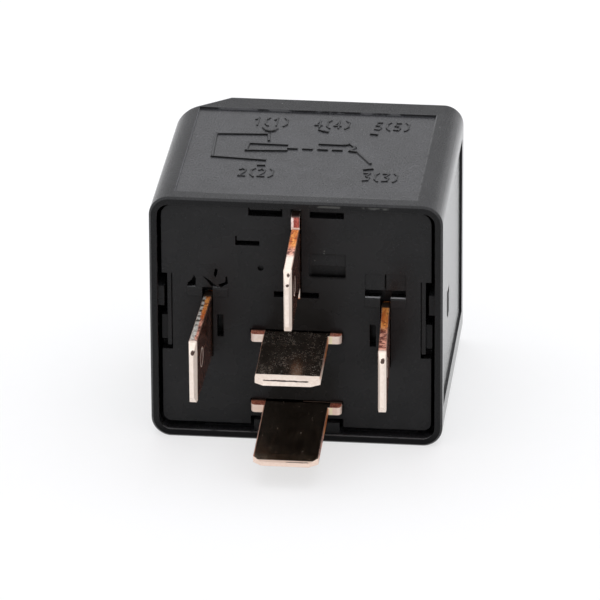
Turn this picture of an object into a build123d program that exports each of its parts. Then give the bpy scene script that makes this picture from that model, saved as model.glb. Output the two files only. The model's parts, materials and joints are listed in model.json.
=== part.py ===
from build123d import *
import os
from math import cos, radians, sin, tan

# Plug-in change-over relay for a vehicle, lying on its side.
# X is its width, Y its depth with the closed end at +Y and the blades at -Y, Z is up.
# Depths are counted from the cover's open rim towards the closed end, heights from the
# face it lies on. All sizes are in millimetres, angles in degrees.

# Cover: a moulded cap with draft, open towards the blades
cover_width = 28.0
cover_height = 25.0
cover_depth = 25.0
cover_wall = 0.75
cover_end_wall = 1.0
cover_corner = 1.95
side_draft = 0.4
top_draft = 0.15
far_edge_round = 0.3
rim_edge_round = 0.2
seat_flat = 0.02

# Slanted cut that shows which way round the relay goes in
key_cut_width = 5.3
key_cut_depth = 4.3

# Shallow panels for marking, on the cover's top and sides, by their margins
panel_recess = 0.2
panel_overcut = 0.05
top_panel_left_margin = 2.3
top_panel_right_margin = 2.6
top_panel_near = 1.6
top_panel_far_margin = 2.8
side_panel_near = 1.3
side_panel_far_margin = 1.8
side_panel_low = 3.7
side_panel_top_margin = 2.9

# Latches: noses on the base that snap into windows in the cover's sides
latch_width = 2.5
latch_arm = 0.75
latch_arm_proud = 0.6
latch_arm_recess = 0.4
latch_nose_depth = 8.4
latch_nose_length = 1.5
latch_engagement = 0.55
latch_clearance = 0.15
latch_strip = 0.38
latch_slit = 0.1

# Guide ribs inside the cover, above the latches
guide_rise = 3.4
guide_width = 2.0
guide_reach = 0.6
guide_length = 4.0

# Base: the plate that closes the cover and carries the terminals
base_recess = 0.5
base_thickness = 2.2
base_side_gap = 0.37
base_bottom_gap = 0.7
base_top_gap = 0.15
base_corner_round = 0.8
side_notch_below = 1.7
side_notch_above = 5.8
side_notch_reach = 0.53
notch_foot_height = 0.45
rib_notch_width = 8.9
rib_notch_height = 0.85
rib_clearance = 0.35
rib_recess = 0.3
rib_length = 2.6
slot_clearance = 0.1

# Moulding marks in the base's outer face
pocket_depth = 1.2
shallow_pocket_depth = 0.3
square_recess = 0.12
seam_width = 0.15
seam_depth = 0.6
bar_width = 3.9
bar_height = 0.9
bar_proud = 0.1
bar_edge_bevel = 0.15
bar_gap_height = 0.8
square_height = 1.7
tongue_inner = 1.3
tongue_outer = 4.55
tongue_drop = 0.9
tongue_slot = 0.65
hook_inner = 3.5
hook_outer = 5.8
hook_rise = 0.75
hook_riser = 0.95
hook_slot = 0.5
foot_slot_width = 4.3
foot_slot_height = 0.6
foot_slot_rise = 0.15
date_panel_inner = 1.2
date_panel_outer = 4.7
date_panel_low = 2.2
date_panel_high = 0.15
date_step_height = 1.1
dimple_x = 3.4
dimple_drop = 1.55
dimple_radius = 0.28
vent_offset = 1.5
vent_width = 0.6
vent_height = 2.3
vent_top_rise = 1.2
# Torn slits over the left coil blade: places from its bar's top, across and up
torn_slits = (
    ((-1.95, 0.0), (-1.95, 0.35), (-1.5, 0.75), (-1.3, 1.25), (-1.1, 0.9), (-1.15, 0.0)),
    ((-0.5, 1.2), (0.05, 0.85), (0.75, 0.25), (1.25, 0.0), (0.45, 0.0), (0.1, 0.5)),
    ((0.75, 2.0), (1.0, 1.85), (0.9, 1.3), (0.75, 1.0), (0.6, 1.35)),
    ((1.3, 0.0), (1.95, 0.4), (1.9, 1.2), (1.75, 1.15), (1.7, 0.6), (1.0, 0.3)),
)

# Blades: flat tabs, and where each comes out of the base
blade_width = 6.2
blade_thickness = 0.8
blade_reach = 10.6
blade_tip_cut = 0.85
blade_lead_length = 1.25
blade_lead_height = 0.2
blade_edge_bevel = 0.07
blade_hole_radius = 0.85
blade_hole_from_tip = 4.2
blade_bend_depth = 0.6
ear_width = 1.25
ear_reach = 0.95
ear_round = 0.45
common_top_margin = 0.4
normally_open_margin = 2.2
changeover_share = 0.465
coil_blade_rise = 0.2
left_blade_rise = 0.45
coil_blade_spacing = 17.0

# How far each blade was bent, downwards and towards +X
common_droop = 1.1
common_turn = 1.4
normally_open_droop = 5.5
changeover_turn = 1.2
left_blade_droop = 1.2
left_blade_turn = -1.3
right_blade_turn = 3.5

# Magnet: yoke, core, bobbin and winding, with the coil's axis along the depth
yoke_standoff = 1.5
yoke_thickness = 1.5
yoke_width = 11.0
yoke_top_gap = 1.3
yoke_foot_below_core = 4.0
yoke_bend_round = 1.2
pole_to_end_wall = 5.2
pole_radius = 4.5
pole_thickness = 1.0
core_neck_step = 0.6
core_swage_step = 0.1
core_swage_depth = 0.5
rivet_clearance = 0.02
bobbin_gap = 0.1
bobbin_tube_wall = 0.7
bobbin_flange = 0.8
bobbin_flange_width = 14.4
bobbin_flange_corner = 2.0
bobbin_top_gap = 0.8
bobbin_bottom_gap = 0.7
winding_below_flange = 0.5
winding_share = 0.405
nib_width = 0.9
nib_reach = 0.8
nib_clearance = 0.2

# Armature and leaf spring, drawn on a plane that leans open at rest
open_angle = 2.6
armature_gap = 0.05
armature_width = 10.0
armature_thickness = 1.2
armature_end_gap = 0.1
armature_edge_round = 1.0
armature_contact_gap = 1.85
leaf_thickness = 0.22
leaf_width = 6.4
leaf_tip_width = 3.2
leaf_bend_radius = 1.2
leaf_seat_length = 9.0
leaf_tip_margin = 1.5
armature_rivet_radius = 0.8
armature_rivet_spacing = 5.0
armature_rivet_from_end = 4.3
yoke_rivet_radius = 0.9
yoke_rivet_spacing = 3.6
yoke_rivet_from_pole = 6.3
rivet_head_height = 0.4
rivet_head_margin = 0.45

# Contacts
contact_rise = 2.3
contact_radius = 1.25
contact_head = 0.6
contact_dome = 0.12
contact_crown = 0.4
contact_shank_radius = 0.6
contact_touch = 0.02
fixed_contact_head = 0.5
fixed_contact_tail = 0.3

# Inner ends of the terminals
leg_inner = 0.6
leg_outer = 4.25
leg_bend = 0.7
leg_standoff = 0.15
tab_past_contact = 1.9
tab_overlap = 2.2
tab_lift = 1.0
foot_reach = 5.0
foot_height = 4.4
foot_rivet_radius = 0.9
foot_rivet_x = 3.0
foot_rivet_head = 0.3
post_thickness_depth = 1.9
coil_post_width = 1.8
coil_post_depth = 9.2
resistor_rise = 2.1
resistor_post_width = 1.6
resistor_depth = 8.1
post_notch_extra = 0.9

# Suppression resistor and the wires
resistor_radius = 1.1
resistor_waist = 0.95
resistor_length = 6.5
resistor_cap_length = 1.3
resistor_lead_radius = 0.3
coil_wire_radius = 0.16
wire_overhang = 0.5
wire_clearance = 0.02
winding_touch = 0.02

# Insulating wall between the two contact legs, and the pads that the yoke sits on
barrier_thickness = 0.6
barrier_below_leg = 0.6
barrier_above_leg = 0.8
barrier_length = 9.0
pad_size = 1.6
pad_x = 4.3
pad_from_foot_end = 2.3

# Places worked out from the sizes above
rim_y = -(cover_depth - blade_reach) / 2
far_width = cover_width - 2 * cover_depth * tan(radians(side_draft))
far_height = cover_height - cover_depth * tan(radians(top_draft))
inner_half_width = cover_width / 2 - cover_wall
inner_depth = cover_depth - cover_end_wall
plate_half_width = inner_half_width - base_side_gap
plate_low = cover_wall + base_bottom_gap
plate_high = cover_height - cover_wall - base_top_gap
plate_inside = base_recess + base_thickness
plate_corner = cover_corner - cover_wall
notch_inside = plate_half_width - side_notch_reach
shoulder_width = blade_width + 2 * ear_width
common_height = plate_high - common_top_margin - shoulder_width / 2
normally_open_height = plate_low + normally_open_margin
changeover_height = (
    normally_open_height + changeover_share * (common_height - normally_open_height)
)
coil_blade_height = changeover_height + coil_blade_rise
coil_blade_x = coil_blade_spacing / 2
latch_height = coil_blade_height
guide_height = latch_height + guide_rise
notch_low = latch_height - side_notch_below
notch_high = latch_height + side_notch_above
rib_notch_top = plate_low + rib_notch_height
blade_root = base_recess + blade_bend_depth
blade_length = blade_reach + blade_root
yoke_outer_height = cover_height - cover_wall - yoke_top_gap
yoke_inner_height = yoke_outer_height - yoke_thickness
yoke_foot_near = plate_inside + yoke_standoff
yoke_foot_far = yoke_foot_near + yoke_thickness
resistor_height = normally_open_height + resistor_rise
contact_height = normally_open_height + contact_rise
coil_top = yoke_inner_height - bobbin_top_gap
coil_bottom = resistor_height + resistor_radius + bobbin_bottom_gap
coil_height = (coil_top + coil_bottom) / 2
bobbin_flange_height = coil_top - coil_bottom
winding_radius = bobbin_flange_height / 2 - winding_below_flange
pole_depth = inner_depth - pole_to_end_wall
pivot_depth = pole_depth + armature_gap
pole_back = pole_depth - pole_thickness
bobbin_near = yoke_foot_far + bobbin_gap
bobbin_far = pole_back - bobbin_gap
winding_near = bobbin_near + bobbin_flange
winding_far = bobbin_far - bobbin_flange
bobbin_tube_radius = winding_radius * (1 - winding_share)
bobbin_bore_radius = bobbin_tube_radius - bobbin_tube_wall
core_radius = bobbin_bore_radius - bobbin_gap
core_neck_radius = core_radius - core_neck_step
core_swage_radius = core_radius - core_swage_step
contact_station = yoke_outer_height - contact_height
contact_top = armature_thickness + leaf_thickness + contact_head
contact_bottom = armature_thickness - contact_head
armature_length = contact_station - contact_radius - armature_contact_gap
armature_rivet_station = armature_length - armature_rivet_from_end
yoke_rivet_depth = pole_depth - yoke_rivet_from_pole
yoke_rivet_x = yoke_rivet_spacing / 2
yoke_rivet_spots = ((-yoke_rivet_x, yoke_rivet_depth), (yoke_rivet_x, yoke_rivet_depth))
open_cos = cos(radians(open_angle))
open_sin = sin(radians(open_angle))
closed_contact_face = (
    pivot_depth + contact_station * open_sin + contact_top * open_cos + contact_touch
)
open_contact_face = pivot_depth + contact_bottom - contact_touch
closed_tab_near = closed_contact_face + fixed_contact_head
open_tab_far = open_contact_face - fixed_contact_head
open_tab_near = open_tab_far - blade_thickness
tab_top = contact_height + tab_past_contact


def coil_blade_middle(side):
    """Height of a coil blade's middle: the left one sits a little higher."""
    return coil_blade_height + (left_blade_rise if side < 0 else 0)


def cross_plane(depth):
    """Plane across the relay: its x is X, its y is Z, and it faces out of the rim."""
    return Plane(origin=(0, rim_y + depth, 0), x_dir=(1, 0, 0), z_dir=(0, -1, 0))


def side_plane(x):
    """Plane along the relay: its x is the depth, its y is Z, and it faces +X."""
    return Plane(origin=(x, rim_y, 0), x_dir=(0, 1, 0), z_dir=(1, 0, 0))


def level_plane(height):
    """Level plane: its x is X, its y is the depth, and it faces up."""
    return Plane(origin=(0, rim_y, height), x_dir=(1, 0, 0), z_dir=(0, 0, 1))


def leaning_plane(station, rise):
    """Plane on the open armature: its y runs from the hinge to the contact, it faces outwards."""
    return Plane(
        origin=(
            0,
            rim_y + pivot_depth + station * open_sin + rise * open_cos,
            yoke_outer_height - station * open_cos + rise * open_sin,
        ),
        x_dir=(1, 0, 0),
        z_dir=(0, open_cos, open_sin),
    )


def blade_plane(x, height, upright, droop, turn):
    """Plane of a blade, from its root: its y points out of the base along the bent blade."""
    fall = radians(droop)
    swing = radians(turn)
    across = Vector(cos(swing), sin(swing), 0)
    upward = Vector(sin(swing) * sin(fall), -cos(swing) * sin(fall), cos(fall))
    return Plane(
        origin=(x, rim_y + blade_root, height),
        x_dir=upward if upright else across,
        z_dir=across if upright else -upward,
    )


def spot(low_x, high_x, low_y, high_y):
    """Centre and size of the rectangle between two corners."""
    centre = ((low_x + high_x) / 2, (low_y + high_y) / 2)
    return centre, high_x - low_x, high_y - low_y


def mirrored(side, inner, outer):
    """Low and high X of a stretch that is given by its distances from the middle."""
    return sorted((side * inner, side * outer))


def block(plane, corners, amount, mode=Mode.ADD):
    """Straight block or cut from a rectangle given by its corners on a plane."""
    centre, width, height = spot(*corners)
    with BuildSketch(plane) as outline:
        with Locations(centre):
            Rectangle(width, height)
    extrude(outline.sketch, amount=amount, mode=mode)


def plate_pocket(low_x, high_x, low, high, depth):
    """Pocket in the outer face of the base plate."""
    block(cross_plane(base_recess), (low_x, high_x, low, high), -depth, Mode.SUBTRACT)


def plate_slit(points, depth):
    """Slit of a free outline in the outer face of the base plate."""
    with BuildSketch(cross_plane(base_recess)) as outline:
        with BuildLine():
            Polyline(*points, close=True)
        make_face()
    extrude(outline.sketch, amount=-depth, mode=Mode.SUBTRACT)


def strip(plane, points, width, bend=leg_bend):
    """Bent sheet-metal strip: a filleted path given the blades' thickness, centred on its plane."""
    with BuildSketch(plane) as outline:
        with BuildLine():
            FilletPolyline(*points, radius=bend)
        trace(line_width=blade_thickness)
    extrude(outline.sketch, amount=width / 2, both=True)


def blade(plane, with_ears, with_hole):
    """Tab outside the base: cut tip corners, lead-in at the tip, and on some a hole or ears."""
    with BuildSketch(plane) as outline:
        with Locations((0, blade_length / 2)):
            Rectangle(blade_width, blade_length)
        chamfer(outline.vertices().group_by(Axis.Y)[-1], blade_tip_cut)
        if with_ears:
            ear_top = blade_bend_depth + ear_reach
            with Locations((0, ear_top / 2)):
                Rectangle(shoulder_width, ear_top)
            for ear_side in (0, -1):
                fillet(outline.vertices().group_by(Axis.X)[ear_side].sort_by(Axis.Y)[-1], ear_round)
        if with_hole:
            with Locations((0, blade_length - blade_hole_from_tip)):
                Circle(blade_hole_radius, mode=Mode.SUBTRACT)
    tab = extrude(outline.sketch, amount=blade_thickness / 2, both=True)
    long_edges = tab.edges().filter_by(Axis(plane.origin, plane.y_dir)).sort_by(SortBy.LENGTH)
    chamfer(long_edges[-4:], blade_edge_bevel)
    # Lead-in: the tip thins towards its end on both faces
    for face in (-1, 1):
        with BuildSketch(Plane(origin=plane.origin, x_dir=plane.y_dir, z_dir=plane.x_dir)) as wedge:
            with BuildLine():
                Polyline(
                    (blade_length - blade_lead_length, face * blade_thickness / 2),
                    (blade_length, face * (blade_thickness / 2 - blade_lead_height)),
                    (blade_length, face * blade_thickness),
                    (blade_length - blade_lead_length, face * blade_thickness),
                    close=True,
                )
            make_face()
        extrude(wedge.sketch, amount=blade_width, both=True, mode=Mode.SUBTRACT)


def rivet(plane, radius, length, head_radius, head_height):
    """Plain rivet: the shank runs back from the plane, the head stands on it."""
    with BuildSketch(plane) as shank:
        Circle(radius)
    extrude(shank.sketch, amount=-length)
    with BuildSketch(plane) as head:
        Circle(head_radius)
    extrude(head.sketch, amount=head_height)


def drafted_body(inset, near, far):
    """Drafted body with the key corner cut off, set in from the cover's outside all round."""
    low = inset - seat_flat
    corner = cover_corner - inset
    with BuildSketch(cross_plane(near)) as near_end:
        with Locations((0, (low + cover_height - inset) / 2)):
            RectangleRounded(cover_width - 2 * inset, cover_height - inset - low, corner)
    with BuildSketch(cross_plane(far)) as far_end:
        with Locations((0, (low + far_height - inset) / 2)):
            RectangleRounded(far_width - 2 * inset, far_height - inset - low, corner)
    loft([near_end.sketch, far_end.sketch])
    key_length = (key_cut_width**2 + key_cut_depth**2) ** 0.5
    shift = (inset * key_cut_depth / key_length, -inset * key_cut_width / key_length)
    with BuildSketch(level_plane(-cover_wall)) as key_corner:
        with BuildLine():
            key_line = Line(
                (-far_width / 2 + shift[0], cover_depth - key_cut_depth + shift[1]),
                (-far_width / 2 + key_cut_width + shift[0], cover_depth + shift[1]),
                mode=Mode.PRIVATE,
            )
            Polyline(
                key_line @ -1,
                key_line @ 2,
                (-cover_width, (key_line @ 2).Y),
                (-cover_width, (key_line @ -1).Y),
                close=True,
            )
        make_face()
    extrude(key_corner.sketch, amount=cover_height + 2 * cover_wall, mode=Mode.SUBTRACT)
    return near_end


os.makedirs("parts", exist_ok=True)

# Cover
with BuildPart() as cover_cavity:
    drafted_body(cover_wall, 0, inner_depth)

with BuildPart() as cover:
    rim_outline = drafted_body(0, rim_edge_round, cover_depth)
    extrude(rim_outline.sketch, amount=rim_edge_round, taper=45)
    far_face = cover.faces().filter_by(Axis.Y).sort_by(Axis.Y)[-1]
    fillet(far_face.edges(), far_edge_round)
    # The underside is a true flat that the relay lies on
    underside = (-cover_width, cover_width, 0, cover_depth)
    block(level_plane(0), underside, -2 * seat_flat, Mode.SUBTRACT)
    add(cover_cavity.part, mode=Mode.SUBTRACT)
    # Marking panels on the top and both sides
    top_lean = radians(top_draft)
    top_face = Plane(
        origin=(0, rim_y, cover_height), x_dir=(1, 0, 0), z_dir=(0, sin(top_lean), cos(top_lean))
    )
    top_panel = (
        top_panel_left_margin - cover_width / 2,
        cover_width / 2 - top_panel_right_margin,
        top_panel_near,
        cover_depth - top_panel_far_margin,
    )
    block(top_face.offset(panel_overcut), top_panel, -panel_recess - panel_overcut, Mode.SUBTRACT)
    side_lean = radians(side_draft)
    side_panel_high = cover_height - side_panel_top_margin
    for side in (-1, 1):
        side_face = Plane(
            origin=(side * cover_width / 2, rim_y, 0),
            x_dir=(-side * sin(side_lean), cos(side_lean), 0),
            z_dir=(side * cos(side_lean), sin(side_lean), 0),
        )
        far_end = cover_depth - side_panel_far_margin
        if side < 0:
            far_end = cover_depth - key_cut_depth - cover_end_wall
        low, high = mirrored(side, side_panel_low, side_panel_high)
        side_panel = (side_panel_near, far_end, low, high)
        block(side_face.offset(panel_overcut), side_panel, -panel_recess - panel_overcut, Mode.SUBTRACT)
        # Latch window, open right through the wall
        window = (
            latch_nose_depth - latch_clearance,
            latch_nose_depth + latch_nose_length + latch_clearance,
            latch_height - latch_width / 2 - latch_clearance,
            latch_height + latch_width / 2 + latch_clearance,
        )
        block(side_plane(side * inner_half_width / 2), window, side * cover_width / 2, Mode.SUBTRACT)
        # Guide rib that runs in the base's side notch
        low, high = mirrored(side, inner_half_width - guide_reach, cover_width / 2 - cover_wall / 2)
        rib = (low, high, guide_height - guide_width / 2, guide_height + guide_width / 2)
        block(cross_plane(base_recess), rib, -guide_length)
    # Locating rib on the floor, in the base's bottom notch
    rib_half_width = rib_notch_width / 2 - rib_clearance
    floor_rib = (-rib_half_width, rib_half_width, cover_wall / 2, rib_notch_top - rib_clearance)
    block(cross_plane(rib_recess), floor_rib, -rib_length)
cover.part.label = "cover"
export_step(cover.part, "parts/cover.step")

# Base
yoke_foot_low = coil_height - yoke_foot_below_core
with BuildPart() as base:
    with BuildSketch(cross_plane(base_recess)) as plate:
        centre, width, height = spot(-plate_half_width, plate_half_width, plate_low, plate_high)
        with Locations(centre):
            Rectangle(width, height)
        fillet(plate.vertices().group_by(Axis.Y)[0], base_corner_round)
        fillet(plate.vertices().group_by(Axis.Y)[-1], plate_corner)
        notch_middle = (notch_low + notch_high) / 2
        with Locations((-plate_half_width, notch_middle), (plate_half_width, notch_middle)):
            Rectangle(2 * side_notch_reach, notch_high - notch_low, mode=Mode.SUBTRACT)
        with Locations((0, plate_low)):
            Rectangle(rib_notch_width, 2 * rib_notch_height, mode=Mode.SUBTRACT)
    extrude(amount=-base_thickness)
    for side in (-1, 1):
        # Latch arm with its nose, slightly back in the side notch
        low, high = mirrored(side, notch_inside - latch_arm, notch_inside + latch_arm_proud)
        arm = (low, high, latch_height - latch_width / 2, latch_height + latch_width / 2)
        arm_start = base_recess + latch_arm_recess
        arm_end = latch_nose_depth + latch_nose_length
        block(cross_plane(arm_start), arm, arm_start - arm_end)
        nose_tip = inner_half_width + latch_engagement
        with BuildSketch(level_plane(latch_height)):
            with BuildLine():
                Polyline(
                    (side * notch_inside, latch_nose_depth),
                    (side * nose_tip, latch_nose_depth),
                    (side * nose_tip, latch_nose_depth + latch_nose_length / 4),
                    (side * (notch_inside + latch_arm_proud), arm_end),
                    (side * notch_inside, arm_end),
                    close=True,
                )
            make_face()
        extrude(amount=latch_width / 2, both=True)
        # Slit that frees the strip beside the notch, and the pocket at the notch's foot
        low, high = mirrored(side, notch_inside - latch_strip - latch_slit, notch_inside - latch_strip)
        plate_pocket(low, high, notch_low, notch_high, shallow_pocket_depth)
        low, high = mirrored(side, notch_inside - latch_strip - latch_slit, cover_width / 2)
        plate_pocket(low, high, notch_low - notch_foot_height, notch_low, pocket_depth)
        # Slot for the coil blade, open up to the gap over the bar
        blade_x = side * coil_blade_x
        blade_top = coil_blade_middle(side) + blade_width / 2
        bar_top = blade_top + bar_height
        gap_top = bar_top + bar_gap_height
        slot_low = blade_x - blade_thickness / 2 - slot_clearance
        slot_high = blade_x + blade_thickness / 2 + slot_clearance
        with BuildSketch(side_plane(blade_x)):
            with BuildLine():
                Polyline(
                    (base_recess + shallow_pocket_depth, blade_top),
                    (base_recess - bar_proud, blade_top),
                    (base_recess - bar_proud, bar_top - bar_edge_bevel),
                    (base_recess + bar_edge_bevel - bar_proud, bar_top),
                    (base_recess + shallow_pocket_depth, bar_top),
                    close=True,
                )
            make_face()
        extrude(amount=bar_width / 2, both=True)
        # The right bar has a gap over it
        if side > 0:
            plate_pocket(blade_x - bar_width / 2, blade_x + bar_width / 2, bar_top, gap_top, pocket_depth)
        slot_bottom = coil_blade_middle(side) - blade_width / 2 - slot_clearance
        plate_pocket(slot_low, slot_high, slot_bottom, blade_top + slot_clearance, base_thickness)
        open_slot = (slot_low, slot_high, blade_top, bar_top)
        block(cross_plane(base_recess - bar_proud), open_slot, -bar_proud - pocket_depth, Mode.SUBTRACT)
        # Vent slot between the coil blade and the middle
        low, high = mirrored(side, coil_blade_x - vent_offset, coil_blade_x - vent_offset + vent_width)
        vent_top = coil_blade_middle(side) + vent_top_rise
        plate_pocket(low, high, vent_top - vent_height, vent_top, pocket_depth)
    # Two shallow squares and their seam over the right bar, and the torn slits over the left one
    square_low = coil_blade_middle(1) + blade_width / 2 + bar_height + bar_gap_height
    square_high = square_low + square_height
    squares = (coil_blade_x - bar_width / 2, coil_blade_x + bar_width / 2)
    plate_pocket(*squares, square_low, square_high, square_recess)
    seam = (coil_blade_x - seam_width / 2, coil_blade_x + seam_width / 2)
    plate_pocket(*seam, square_low, square_high, seam_depth)
    torn_x = -coil_blade_x
    torn_low = coil_blade_middle(-1) + blade_width / 2 + bar_height
    for slit in torn_slits:
        plate_slit([(torn_x + x, torn_low + height) for x, height in slit], pocket_depth)
    # Pads that the yoke sits on
    pads = (
        (-pad_x, common_height),
        (-pad_x, yoke_foot_low + pad_from_foot_end),
        (pad_x, yoke_foot_low + pad_from_foot_end),
    )
    for x, height in pads:
        pad = (x - pad_size / 2, x + pad_size / 2, height - pad_size / 2, height + pad_size / 2)
        block(cross_plane(plate_inside), pad, plate_inside - yoke_foot_near)
    # Wall that keeps the two contact legs apart
    barrier = (
        -barrier_thickness / 2,
        barrier_thickness / 2,
        normally_open_height - barrier_below_leg,
        normally_open_height + barrier_above_leg,
    )
    block(cross_plane(plate_inside - base_thickness / 2), barrier, -barrier_length)
    # Slots for the level blades and the common blade, which is open to the top edge
    level_half_width = shoulder_width / 2 + slot_clearance
    slot_half_height = blade_thickness / 2 + slot_clearance
    for height in (normally_open_height, changeover_height):
        low, high = height - slot_half_height, height + slot_half_height
        plate_pocket(-level_half_width, level_half_width, low, high, base_thickness)
    common_low = common_height - level_half_width
    plate_pocket(-slot_half_height, slot_half_height, common_low, cover_height, base_thickness)
    # Slots under the two tongues at the top edge, the left one with open ends
    tongue_low = plate_high - tongue_drop
    for side in (-1, 1):
        low, high = mirrored(side, tongue_inner, tongue_outer)
        plate_pocket(low, high, tongue_low, tongue_low + tongue_slot, pocket_depth)
    for inner in (tongue_inner, tongue_outer - seam_width):
        plate_pocket(-inner - seam_width, -inner, tongue_low, cover_height, pocket_depth)
    # Hook-shaped slot, slot across the common blade's foot, blank panel and dimple
    hook_low = common_height + hook_rise
    plate_pocket(-hook_outer, -hook_inner, hook_low, hook_low + hook_slot, pocket_depth)
    plate_pocket(-hook_outer, -hook_outer + seam_width, hook_low, hook_low + hook_riser, pocket_depth)
    foot_slot_low = common_height - shoulder_width / 2 + foot_slot_rise - foot_slot_height / 2
    foot_slot_high = foot_slot_low + foot_slot_height
    plate_pocket(-foot_slot_width / 2, foot_slot_width / 2, foot_slot_low, foot_slot_high, pocket_depth)
    panel_low = common_height - date_panel_low
    panel_high = common_height + date_panel_high
    plate_pocket(date_panel_inner, date_panel_outer, panel_low, panel_high, square_recess)
    step_high = panel_low + date_step_height
    plate_pocket(date_panel_inner, date_panel_outer, panel_low, step_high, shallow_pocket_depth)
    with BuildSketch(cross_plane(base_recess)):
        with Locations((-dimple_x, common_height - dimple_drop)):
            Circle(dimple_radius)
    extrude(amount=-shallow_pocket_depth, mode=Mode.SUBTRACT)
base.part.label = "base"
export_step(base.part, "parts/base.step")

# Common terminal, with a foot riveted under the yoke
foot_middle = yoke_foot_near - blade_thickness / 2
with BuildPart() as terminal_30:
    common_plane = blade_plane(0, common_height, True, common_droop, common_turn)
    blade(common_plane, with_ears=True, with_hole=True)
    strip(
        level_plane(common_height),
        ((0, base_recess), (0, foot_middle), (foot_reach, foot_middle)),
        foot_height,
    )
    with BuildSketch(cross_plane(yoke_foot_far)):
        with Locations((foot_rivet_x, common_height)):
            Circle(foot_rivet_radius + rivet_clearance)
    extrude(amount=yoke_foot_far - plate_inside, mode=Mode.SUBTRACT)
terminal_30.part.label = "terminal_30"
export_step(terminal_30.part, "parts/terminal_30.step")

with BuildPart() as terminal_30_rivet:
    rivet_plane = Plane(
        origin=(foot_rivet_x, rim_y + yoke_foot_near - blade_thickness, common_height),
        x_dir=(1, 0, 0),
        z_dir=(0, -1, 0),
    )
    rivet(
        rivet_plane,
        foot_rivet_radius,
        yoke_thickness + blade_thickness,
        foot_rivet_radius + rivet_head_margin,
        foot_rivet_head,
    )
terminal_30_rivet.part.label = "terminal_30_rivet"
export_step(terminal_30_rivet.part, "parts/terminal_30_rivet.step")

# Normally open terminal: the leg goes straight in and turns up to its contact
leg_width = leg_outer - leg_inner
leg_middle = (leg_outer + leg_inner) / 2
with BuildPart() as terminal_87:
    open_plane = blade_plane(0, normally_open_height, False, normally_open_droop, 0)
    blade(open_plane, with_ears=True, with_hole=False)
    strip(
        side_plane(leg_middle),
        (
            (base_recess, normally_open_height),
            ((open_tab_near + open_tab_far) / 2, normally_open_height),
            ((open_tab_near + open_tab_far) / 2, tab_top),
        ),
        leg_width,
    )
    tab = (-tab_overlap, leg_inner + leg_bend, normally_open_height + tab_lift, tab_top)
    block(cross_plane(open_tab_far), tab, blade_thickness)
    with BuildSketch(cross_plane(open_tab_far)):
        with Locations((0, contact_height)):
            Circle(contact_shank_radius + rivet_clearance)
    extrude(amount=blade_thickness, mode=Mode.SUBTRACT)
terminal_87.part.label = "terminal_87"
export_step(terminal_87.part, "parts/terminal_87.step")

# Normally closed terminal: the leg drops behind the plate, then goes in past the other one
run_middle = plate_inside + leg_standoff + blade_thickness / 2
closed_tab_middle = closed_tab_near + blade_thickness / 2
with BuildPart() as terminal_87a:
    changeover_plane = blade_plane(0, changeover_height, False, 0, changeover_turn)
    blade(changeover_plane, with_ears=True, with_hole=False)
    strip(
        side_plane(-leg_middle),
        (
            (base_recess, changeover_height),
            (run_middle, changeover_height),
            (run_middle, normally_open_height),
            (closed_tab_middle, normally_open_height),
            (closed_tab_middle, tab_top),
        ),
        leg_width,
    )
    tab = (-leg_inner - leg_bend, tab_overlap, normally_open_height + tab_lift, tab_top)
    block(cross_plane(closed_tab_near), tab, -blade_thickness)
    with BuildSketch(cross_plane(closed_tab_near)):
        with Locations((0, contact_height)):
            Circle(contact_shank_radius + rivet_clearance)
    extrude(amount=-blade_thickness, mode=Mode.SUBTRACT)
terminal_87a.part.label = "terminal_87a"
export_step(terminal_87a.part, "parts/terminal_87a.step")


def coil_post_height(side):
    """Height of a coil post's wire notch: the post is flush with the blade's upper edge."""
    return coil_blade_middle(side) + blade_width / 2 - coil_post_width / 2


def coil_terminal(side, droop, turn):
    """Coil terminal: a blade whose inner end splits into a coil post and a resistor post."""
    x = side * coil_blade_x
    middle = coil_blade_middle(side)
    blade(blade_plane(x, middle, True, droop, turn), with_ears=False, with_hole=True)
    start = side_plane(x - blade_thickness / 2)
    blade_low = middle - blade_width / 2
    blade_high = middle + blade_width / 2
    post_low = resistor_height - resistor_post_width / 2
    post_root = plate_inside + post_thickness_depth
    block(start, (base_recess, post_root, blade_low, blade_high), blade_thickness)
    block(start, (plate_inside, post_root, post_low, blade_high), blade_thickness)
    posts = (
        (coil_post_height(side), coil_post_width, coil_post_depth, coil_wire_radius),
        (resistor_height, resistor_post_width, resistor_depth + post_notch_extra, resistor_lead_radius),
    )
    for height, width, top, wire in posts:
        block(start, (plate_inside, top, height - width / 2, height + width / 2), blade_thickness)
        # Notch with a round bottom that holds the wire
        seat = top - post_notch_extra
        with BuildSketch(start) as notch:
            with Locations((seat, height)):
                Circle(wire + wire_clearance)
            with Locations((seat + post_notch_extra, height)):
                Rectangle(2 * post_notch_extra, 2 * (wire + wire_clearance))
        extrude(notch.sketch, amount=blade_thickness, mode=Mode.SUBTRACT)


with BuildPart() as terminal_85:
    coil_terminal(-1, left_blade_droop, left_blade_turn)
terminal_85.part.label = "terminal_85"
export_step(terminal_85.part, "parts/terminal_85.step")

with BuildPart() as terminal_86:
    coil_terminal(1, 0, right_blade_turn)
terminal_86.part.label = "terminal_86"
export_step(terminal_86.part, "parts/terminal_86.step")

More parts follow.
